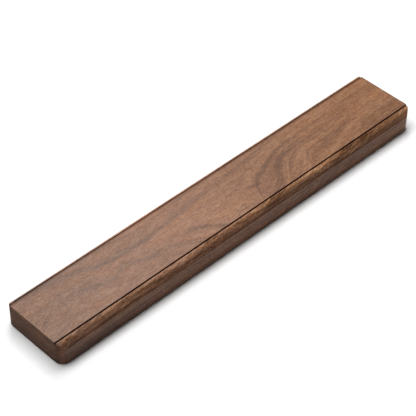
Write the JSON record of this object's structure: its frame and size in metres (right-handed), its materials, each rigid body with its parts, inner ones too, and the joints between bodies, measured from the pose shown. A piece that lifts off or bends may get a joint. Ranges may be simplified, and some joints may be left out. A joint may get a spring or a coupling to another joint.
{
  "type": "magnetic knife holder",
  "caption": "Long walnut wall bar with a flat face, grooved and moulded long edges and rounded corners, hidden magnets and keyhole hanger plates let into its back.",
  "frame": {"origin": "centre of the plane that the silicone pads stand on, which is the wall or table plane, under the middle of the bar", "axes": "+X along the bar's length, +Y towards the edge that is uppermost on the wall, +Z out of the flat front face that holds the knives"},
  "size_m": [0.4, 0.065, 0.0232],
  "materials": {
    "walnut": "satin",
    "cover_walnut": "satin",
    "batten_wood": "matte",
    "magnet_nickel": "polished",
    "strip_steel": "satin",
    "hanger_steel": "satin",
    "screw_steel": "satin",
    "silicone": "matte"
  },
  "bodies": {
    "root": {"walnut_bar": "walnut", "back_cover": "cover_walnut", "steel_strip_lower": "strip_steel", "batten_lower": "batten_wood", "magnet_lower_1": "magnet_nickel", "magnet_lower_2": "magnet_nickel", "magnet_lower_3": "magnet_nickel", "magnet_lower_4": "magnet_nickel", "magnet_lower_5": "magnet_nickel", "magnet_lower_6": "magnet_nickel", "magnet_lower_7": "magnet_nickel", "magnet_lower_8": "magnet_nickel", "steel_strip_upper": "strip_steel", "batten_upper": "batten_wood", "magnet_upper_1": "magnet_nickel", "magnet_upper_2": "magnet_nickel", "magnet_upper_3": "magnet_nickel", "magnet_upper_4": "magnet_nickel", "magnet_upper_5": "magnet_nickel", "magnet_upper_6": "magnet_nickel", "magnet_upper_7": "magnet_nickel", "magnet_upper_8": "magnet_nickel", "hanger_plate_left": "hanger_steel", "hanger_plate_right": "hanger_steel", "hanger_screw_left_lower": "screw_steel", "hanger_screw_left_upper": "screw_steel", "hanger_screw_right_lower": "screw_steel", "hanger_screw_right_upper": "screw_steel", "cover_screw_1": "screw_steel", "cover_screw_2": "screw_steel", "cover_screw_3": "screw_steel", "cover_screw_4": "screw_steel", "cover_screw_5": "screw_steel", "cover_screw_6": "screw_steel", "pad_left_lower": "silicone", "pad_left_upper": "silicone", "pad_right_lower": "silicone", "pad_right_upper": "silicone"}
  },
  "joints": []
}
